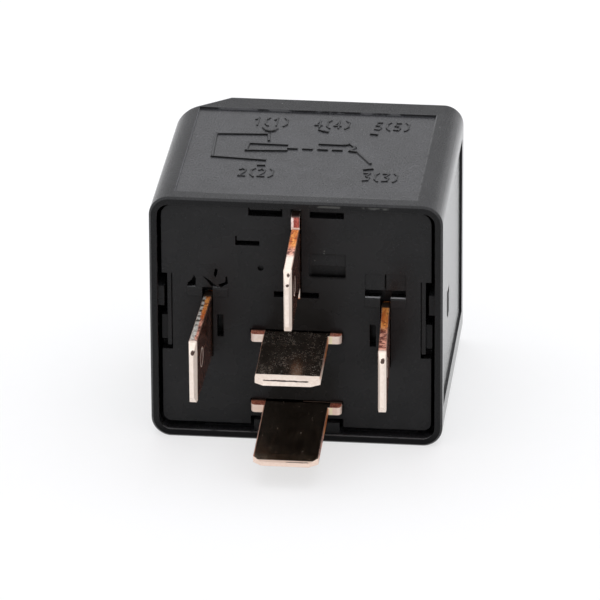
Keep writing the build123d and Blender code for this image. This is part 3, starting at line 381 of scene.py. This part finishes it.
        # Line where the sheet's two coined faces meet
        wander = f.product(f.math("SUBTRACT", f.noise(0.6, 3.0), 0.5), 0.25)
        level = f.math("ADD", f.along("Y"), wander)
        line = f.product(f.between(level, *seam[:2], 0.04), f.spot(x=seam[2:], soft=0.1), coined)
        tone = f.mix(line, tone, (0.04, 0.025, 0.02))
        height = f.math("SUBTRACT", height, line)
    if ridges:
        wave = f.add("ShaderNodeTexWave", bands_direction="Y")
        f.feed(wave.inputs["Vector"], f.place)
        wave.inputs["Scale"].default_value = 1.0 / (ridges * MM) / 3.2
        wave.inputs["Distortion"].default_value = 4.0
        wave.inputs["Detail Scale"].default_value = 3.0
        top = f.product(cut, f.ramp(f.parts(f.facing)[2], 0.3, 0.6), f.flip(coined))
        uneven = f.math("ADD", f.along("X"), f.product(f.math("SUBTRACT", f.noise(0.4), 0.5), 0.4))
        outer = f.product(top, f.ramp(uneven, -8.68, -8.56, 1.0, 0.0))
        crest = f.ramp(f.math("ADD", wave.outputs["Fac"], f.product(speck, 0.5)), 0.35, 0.75)
        corner = f.ramp(uneven, -8.98, -8.88, 1.0, 0.0)
        crest = f.either(crest, corner, f.ramp(reach, -14.5, -11.5, 0.75, 0.0))
        silver = f.mix(f.ramp(speck, 0.35, 0.65), (0.3, 0.28, 0.25), (0.8, 0.76, 0.7))
        tone = f.mix(outer, tone, f.mix(crest, (0.05, 0.045, 0.03), silver))
        height = f.math("ADD", height, f.product(wave.outputs["Fac"], outer, 1.5))
    distance, pick = f.cells(0.2)
    chosen = f.ramp(f.parts(pick)[0], dusty, dusty + 0.05, 0.0, 0.6)
    dust = f.product(f.ramp(distance, 0.1, 0.3, 1.0, 0.0), chosen, f.ramp(cloud, 0.3, 0.6, 0.3, 1.0))
    smear = f.product(f.ramp(f.noise(0.25, 6.0, 0.8), 0.46, 0.7), f.ramp(cloud, 0.3, 0.65), 0.3)
    film = f.product(f.either(dust, smear), face, f.flip(white), film_share)
    tone = f.mix(f.product(film, 0.8), tone, (0.78, 0.76, 0.72))
    # Painted shade on the blade where it lies in the base's slot
    tone = f.mix(f.spot(y=(-6.85, -5.6)), tone, (0.05, 0.03, 0.02))
    f.set(Base_Color=tone, Roughness=f.math("ADD", rough, f.product(film, 0.45)))
    f.set(Metallic=f.product(f.blend(white, metal, 0.3), f.flip(f.product(film, 0.5))))
    return f.grain(height, 0.012, 0.05).material


def steel_finish(name, light, dark, lay, rough):
    """Rolled or drawn metal with its lay along one axis."""
    f = Finish(name)
    scale = [1.0, 1.0, 1.0]
    scale["XYZ".index(lay)] = 0.06
    streak = f.noise(0.12, 4.0, 0.7, f.stretched(*scale))
    cloud = f.noise(1.8, 3.0)
    tone = f.mix(f.ramp(streak, 0.3, 0.7), dark, light)
    tone = f.mix(f.product(f.ramp(cloud, 0.5, 0.75), 0.3), tone, [0.75 * part for part in dark])
    # Painted highlight along the edges
    edge = f.product(f.lit_edges(0.06), 0.5)
    tone = f.mix(edge, tone, [min(1.0, 1.15 * part) for part in light])
    f.set(Base_Color=tone, Metallic=1.0, Roughness=f.ramp(streak, 0.2, 0.8, rough, rough + 0.18))
    return f.grain(streak, 0.01, 0.05).material


def nylon_finish():
    f = Finish("bobbin_plastic")
    fibre = f.noise(0.15, 5.0, 0.7, f.stretched(1.0, 0.25, 1.0))
    cloud = f.noise(2.2, 3.0)
    tone = f.mix(f.ramp(cloud, 0.3, 0.7), (0.56, 0.52, 0.42), (0.68, 0.65, 0.55))
    tone = f.mix(f.product(f.ramp(fibre, 0.5, 0.7), 0.35), tone, (0.8, 0.78, 0.7))
    f.set(Base_Color=tone, Roughness=f.ramp(fibre, 0.3, 0.7, 0.38, 0.55), Subsurface_Weight=0.08)
    f.surface.inputs["Subsurface Radius"].default_value = (0.0008, 0.0006, 0.0004)
    return f.grain(fibre, 0.01, 0.08).material


def wire_finish():
    f = Finish("winding_copper")
    cloud = f.noise(0.9, 4.0)
    streak = f.noise(0.08, 3.0)
    tone = f.mix(f.ramp(cloud, 0.3, 0.7), (0.5, 0.15, 0.05), (0.72, 0.27, 0.1))
    f.set(Base_Color=tone, Metallic=0.85, Roughness=f.ramp(streak, 0.3, 0.7, 0.18, 0.34))
    f.set(Coat_Weight=0.6, Coat_Roughness=0.12)
    return f.grain(streak, 0.003, 0).material


def lacquer_finish():
    f = Finish("resistor_body")
    cloud = f.noise(0.7, 3.0)
    place = f.along("X")
    tone = f.mix(f.ramp(cloud, 0.3, 0.7), (0.11, 0.22, 0.31), (0.16, 0.29, 0.38))
    bands = (
        (-2.2, (0.3, 0.08, 0.03)), (-1.2, (0.02, 0.02, 0.02)),
        (-0.2, (0.32, 0.05, 0.02)), (1.7, (0.5, 0.32, 0.08)),
    )
    for middle, colour in bands:
        ring = f.between(place, middle - 0.25, middle + 0.25, 0.03)
        tone = f.mix(ring, tone, colour)
    f.set(Base_Color=tone, Roughness=f.ramp(cloud, 0.3, 0.7, 0.22, 0.36), Coat_Weight=0.4)
    return f.grain(f.noise(0.3, 3.0), 0.01, 0.05).material


def mark_finish():
    """The raised marks: the cover's plastic, with painted shade darkening the flanks that face the
    blades.
    """
    f = Finish("mark_plastic")
    grain = f.noise(0.1, 4.0)
    ahead = f.ramp(f.parts(f.facing)[1], -0.3, -0.6)
    # Painted shade on the flanks that face the blades
    tone = f.mix(ahead, (0.024, 0.024, 0.026), (0.003, 0.003, 0.003))
    tone = f.mix(f.product(f.ramp(grain, 0.55, 0.75), f.flip(ahead), 0.4), tone, (0.06, 0.06, 0.06))
    f.set(Base_Color=tone, Roughness=f.ramp(grain, 0.3, 0.7, 0.3, 0.4))
    f.set(Specular_IOR_Level=f.blend(ahead, 0.3, 0.1))
    return f.grain(grain, 0.008, 0).material


materials = {
    "cover_plastic": cover_finish(),
    "base_plastic": base_finish(),
    "yoke_iron": steel_finish("yoke_iron", (0.66, 0.65, 0.61), (0.5, 0.5, 0.47), "Y", 0.26),
    "core_iron": steel_finish("core_iron", (0.64, 0.64, 0.63), (0.48, 0.48, 0.47), "X", 0.2),
    "armature_iron": steel_finish("armature_iron", (0.68, 0.66, 0.62), (0.52, 0.51, 0.48), "Z", 0.25),
    "bobbin_plastic": nylon_finish(),
    "winding_copper": wire_finish(),
    "leaf_bronze": steel_finish("leaf_bronze", (0.86, 0.62, 0.34), (0.7, 0.48, 0.25), "Z", 0.2),
    "contact_silver": steel_finish("contact_silver", (0.88, 0.87, 0.84), (0.74, 0.73, 0.71), "X", 0.22),
    "rivet_steel": steel_finish("rivet_steel", (0.72, 0.71, 0.68), (0.56, 0.55, 0.53), "X", 0.24),
    "resistor_body": lacquer_finish(),
    "wire_tin": steel_finish("wire_tin", (0.8, 0.79, 0.76), (0.64, 0.63, 0.6), "X", 0.22),
}
blades = {
    "terminal_30": blade_finish(
        "blade_30", "X", marks=((0.38, 21.95, 0.12), (0.36, 21.15, 0.12)), hole=(-13.6, 19.2),
        pale_from=-13.5, red_from=22.5, film_share=0.3,
    ),
    "terminal_85": blade_finish(
        "blade_85", "X", marks=((-8.66, 13.75, 0.16),), ridges=1.1, hole=(-13.6, 11.5), film_share=0.3,
    ),
    "terminal_86": blade_finish(
        "blade_86", "X", marks=((9.27, 13.63, 0.17),), hole=(-13.6, 11.2), film_share=0.3,
    ),
    "terminal_87": blade_finish(
        "blade_87", "Z", seam=(-17.66, -17.58, 0.1, 2.2), lead_from=-17.35, blush=0.5,
        dusty=0.93, film_share=0.25,
    ),
    "terminal_87a": blade_finish("blade_87a", "Z", seam=(-17.7, -17.47, -2.0, 2.25), dusty=0.6),
}


def paint(obj, material):
    """Gives every material slot of the piece this material."""
    if not obj.material_slots:
        obj.data.materials.append(material)
    for entry in obj.material_slots:
        entry.material = material


for part in frame["record"]["subparts"]:
    paint(nodes[part["node"]], blades.get(part["node"]) or materials[part["material_slot"]])


# ---------------------------------------------------------------- added pieces

def mesh_object(name, points, faces, material):
    mesh = bpy.data.meshes.new(name)
    mesh.from_pydata(points, [], faces)
    mesh.update()
    mesh.materials.append(material)
    obj = bpy.data.objects.new(name, mesh)
    bpy.context.scene.collection.objects.link(obj)
    return obj


def piece(name, points, faces, material, smooth=False):
    """One added mesh, carried by the housing."""
    obj = mesh_object(name, points, faces, material)
    for face in obj.data.polygons:
        face.use_smooth = smooth
    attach(obj, "housing")
    return obj


def winding():
    """The winding, turn by turn, over the bobbin."""
    wire, turns, around, sides = 0.1, 51, 48, 8
    outer_radius, near_end, axis_height, length = 6.05, -0.6, 14.1, 10.3
    radius = outer_radius - wire
    start = Vector((0, near_end + wire, axis_height))
    pitch = (length - 2 * wire) / turns
    points, faces = [], []
    rings = turns * around + 1
    for step in range(rings):
        angle = 2 * math.pi * step / around
        out = Vector((math.cos(angle), 0, math.sin(angle)))
        middle = start + Vector((0, pitch * step / around, 0)) + out * radius
        for side in range(sides):
            turn = 2 * math.pi * side / sides
            lift = out * math.cos(turn) * wire + Vector((0, math.sin(turn) * wire, 0))
            points.append((middle + lift) * MM)
    for step in range(rings - 1):
        for side in range(sides):
            a = step * sides + side
            b = step * sides + (side + 1) % sides
            faces.append((a, b, b + sides, a + sides))
    obj = piece("winding_turns", points, faces, materials["winding_copper"], True)
    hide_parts("coil_winding")


def leaf():
    """The contact spring, a copy of the part's mesh with the bronze finish, with the part itself hidden.
    """
    spring = nodes["contact_spring"]
    obj = bpy.data.objects.new("leaf_spring", spring.data.copy())
    bpy.context.scene.collection.objects.link(obj)
    obj.matrix_world = spring.matrix_world.copy()
    paint(obj, materials["leaf_bronze"])
    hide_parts("contact_spring")
    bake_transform(obj)


winding()
leaf()

# Wiring sketch and terminal figures on the cover's top panel, by place from the left and from the rim
HALF_WIDTH = 14.0
RIM = -7.2
COVER_HEIGHT = 25.0
PANEL_DEPTH = 0.2
TOP_LEAN = math.tan(math.radians(0.15))


def on_panel(x, depth, rise):
    level = COVER_HEIGHT - TOP_LEAN * depth - PANEL_DEPTH
    return Vector((x - HALF_WIDTH, depth + RIM, level + rise)) * MM


def ridge(points, faces, start, end, width, rise):
    """Raised stroke with slanting flanks between two places on the panel."""
    line = Vector((end[0] - start[0], end[1] - start[1]))
    line.normalize()
    side = Vector((-line.y, line.x)) * width / 2
    first = len(points)
    for reach, level in ((1.0, -0.03), (0.55, rise)):
        for place, push in ((start, -1), (end, 1)):
            middle = Vector(place) + line * push * width / 2 * reach
            for sign in (-1, 1):
                spot = middle + side * reach * sign
                points.append(on_panel(spot.x, spot.y, level))
    faces += [[first + n for n in quad] for quad in (
        (4, 5, 7, 6), (0, 4, 6, 2), (1, 3, 7, 5), (0, 1, 5, 4), (2, 6, 7, 3), (0, 2, 3, 1),
    )]


mark_plastic = mark_finish()


def marks(name, strokes, width, rise):
    points, faces = [], []
    for stroke in strokes:
        for start, end in zip(stroke, stroke[1:]):
            ridge(points, faces, start, end, width, rise)
    piece(name, points, faces, mark_plastic)


sketch = [
    [(9.87, 14.9), (9.7, 16.45), (4.65, 16.1), (4.85, 10.6), (10.0, 10.12)],
    [(11.7, 13.95), (8.04, 14.05), (7.94, 12.35), (11.78, 12.6)],
    [(14.85, 14.45), (17.2, 14.4), (17.75, 14.7), (18.3, 13.9), (17.9, 13.0), (18.5, 12.9)],
    [(18.6, 12.92), (20.1, 10.2)],
    [(9.04, 17.9), (9.4, 17.3), (9.77, 17.15), (10.1, 17.35), (10.3, 17.8)],
    [(14.49, 17.9), (14.9, 17.6), (15.28, 17.5)],
    [(19.55, 17.4), (20.05, 17.3)],
    [(19.7, 8.7), (20.41, 8.95)],
    [(9.5, 8.83), (10.04, 8.88)],
]
sketch += [[(x, 13.14), (x + 0.78, 13.12)] for x in (11.94, 13.4, 14.85, 16.27)]
marks("wiring_sketch", sketch, 0.34, 0.13)

# Plain figures, drawn in a unit box, for the five terminals: a figure, then the same in brackets
figures = {
    1: [[(0.25, 0.8), (0.55, 1.0), (0.55, 0.0)]],
    2: [[(0.1, 0.85), (0.4, 1.0), (0.8, 0.8), (0.75, 0.55), (0.1, 0.0), (0.85, 0.0)]],
    3: [[(0.1, 1.0), (0.8, 1.0), (0.4, 0.6), (0.8, 0.4), (0.7, 0.05), (0.1, 0.0)]],
    4: [[(0.6, 0.0), (0.6, 1.0), (0.05, 0.3), (0.85, 0.3)]],
    5: [[(0.8, 1.0), (0.2, 1.0), (0.15, 0.55), (0.65, 0.55), (0.8, 0.25), (0.6, 0.0), (0.1, 0.05)]],
}
opening = [[(0.7, 1.05), (0.35, 0.8), (0.35, 0.2), (0.7, -0.05)]]
closing = [[(0.3, 1.05), (0.65, 0.8), (0.65, 0.2), (0.3, -0.05)]]
places = {1: (7.9, 18.6), 4: (13.9, 18.5), 5: (19.7, 18.5), 2: (7.8, 6.2), 3: (19.7, 6.1)}
for figure, (x, depth) in places.items():
    strokes = []
    for column, glyph in enumerate((figures[figure], opening, figures[figure], closing)):
        for stroke in glyph:
            strokes.append([(x + 0.92 * (column + 0.85 * a), depth + 1.75 * b) for a, b in stroke])
    marks(f"figure_{figure}", strokes, 0.22, 0.09)


# ---------------------------------------------------------------- table, light and camera

def seen_rays(tree):
    """One for camera, glossy and transmission rays, which show the white surroundings."""
    path = tree.nodes.new("ShaderNodeLightPath")
    share = path.outputs["Is Camera Ray"]
    for kind in ("Is Glossy Ray", "Is Transmission Ray"):
        either = tree.nodes.new("ShaderNodeMath")
        either.operation = "MAXIMUM"
        tree.links.new(share, either.inputs[0])
        tree.links.new(path.outputs[kind], either.inputs[1])
        share = either.outputs[0]
    return share


def table_finish(name, near, far, glow_share):
    """Matt board, with painted light making it a little brighter behind the relay; seen directly or
    mirrored it is nearly white.
    """
    f = Finish(name)
    grain = f.noise(2.0, 4.0)
    # Painted light: the board grows brighter towards the back
    back = f.ramp(f.along("Y"), -10.0, 60.0)
    tone = f.mix(back, near, far)
    tone = f.mix(f.product(f.ramp(grain, 0.3, 0.7), 0.04), tone, (0.7, 0.7, 0.7))
    f.set(Base_Color=tone, Roughness=0.9, Specular_IOR_Level=0.1)
    glow = f.add("ShaderNodeEmission")
    blend = f.add("ShaderNodeMixShader")
    f.feed(blend.inputs[0], f.product(seen_rays(f.tree), glow_share))
    f.feed(blend.inputs[1], f.surface.outputs[0])
    f.feed(blend.inputs[2], glow.outputs[0])
    f.feed(f.out.inputs[0], blend.outputs[0])
    return f.material


# Table that curves up into the backdrop
half, front, back, top = 1.6, -1.8, 0.5, 1.0
curve, curve_steps = 0.2, 12
below = 0.00001
sweep = [(front, 0.0), (back, 0.0)]
for step in range(1, curve_steps + 1):
    turn = math.pi / 2 * step / curve_steps
    sweep.append((back + curve * math.sin(turn), curve - curve * math.cos(turn)))
sweep.append((back + curve, top))
points = [(x, y, z - below) for y, z in sweep for x in (-half, half)]
faces = [(2 * n, 2 * n + 1, 2 * n + 3, 2 * n + 2) for n in range(len(sweep) - 1)]
pale = table_finish("pale_board", (0.83, 0.83, 0.83), (0.9, 0.9, 0.9), 0.62)
mesh_object("table_sweep", points, faces, pale)

softbox = bpy.data.lights.new("top_softbox", "AREA")
softbox.shape = "RECTANGLE"
softbox.size = 0.8
softbox.size_y = 0.8
softbox.energy = 2.2
lamp = bpy.data.objects.new("top_softbox", softbox)
lamp.location = (0.05, 0.15, 0.75)
relay_middle = Vector((0, 0, 0.012))
lamp.rotation_euler = (relay_middle - lamp.location).to_track_quat("-Z", "Y").to_euler()
bpy.context.scene.collection.objects.link(lamp)

# White surroundings where they are seen, soft cool light elsewhere
world = bpy.data.worlds.new("studio")
bpy.context.scene.world = world
world.use_nodes = True
tree = world.node_tree
tree.nodes.clear()
out = tree.nodes.new("ShaderNodeOutputWorld")
seen = tree.nodes.new("ShaderNodeBackground")
seen.inputs["Color"].default_value = (1.0, 1.0, 1.0, 1.0)
seen.inputs["Strength"].default_value = 1.0
room = tree.nodes.new("ShaderNodeBackground")
room.inputs["Color"].default_value = (0.94, 0.95, 1.0, 1.0)
room.inputs["Strength"].default_value = 1.1
choose = tree.nodes.new("ShaderNodeMixShader")
tree.links.new(seen_rays(tree), choose.inputs[0])
tree.links.new(room.outputs[0], choose.inputs[1])
tree.links.new(seen.outputs[0], choose.inputs[2])
tree.links.new(choose.outputs[0], out.inputs[0])

# Camera, fitted to the photograph
azimuth = math.radians(6.15495)
elevation = math.radians(24.47636)
roll = math.radians(-0.30118)
distance = 0.736391
shift_left = 0.000349689
shift_down = 0.001202466
aim = Vector((0, -0.0002, 0.013))
backwards = Vector((
    math.sin(azimuth) * math.cos(elevation), -math.cos(azimuth) * math.cos(elevation), math.sin(elevation)
))
level = Vector((math.cos(azimuth), math.sin(azimuth), 0))
upright = backwards.cross(level)
right = math.cos(roll) * level + math.sin(roll) * upright
upwards = -math.sin(roll) * level + math.cos(roll) * upright
eye = aim + distance * backwards - shift_left * right - shift_down * upwards
data = bpy.data.cameras.new("photo_camera")
data.sensor_fit = "HORIZONTAL"
data.sensor_width = 36
data.lens = 460.609
data.clip_start = 0.01
camera = bpy.data.objects.new("photo_camera", data)
camera.matrix_world = Matrix((
    (right.x, upwards.x, backwards.x, eye.x),
    (right.y, upwards.y, backwards.y, eye.y),
    (right.z, upwards.z, backwards.z, eye.z),
    (0, 0, 0, 1),
))
bpy.context.scene.collection.objects.link(camera)
bpy.context.scene.camera = camera
bpy.context.scene.view_settings.view_transform = "Standard"
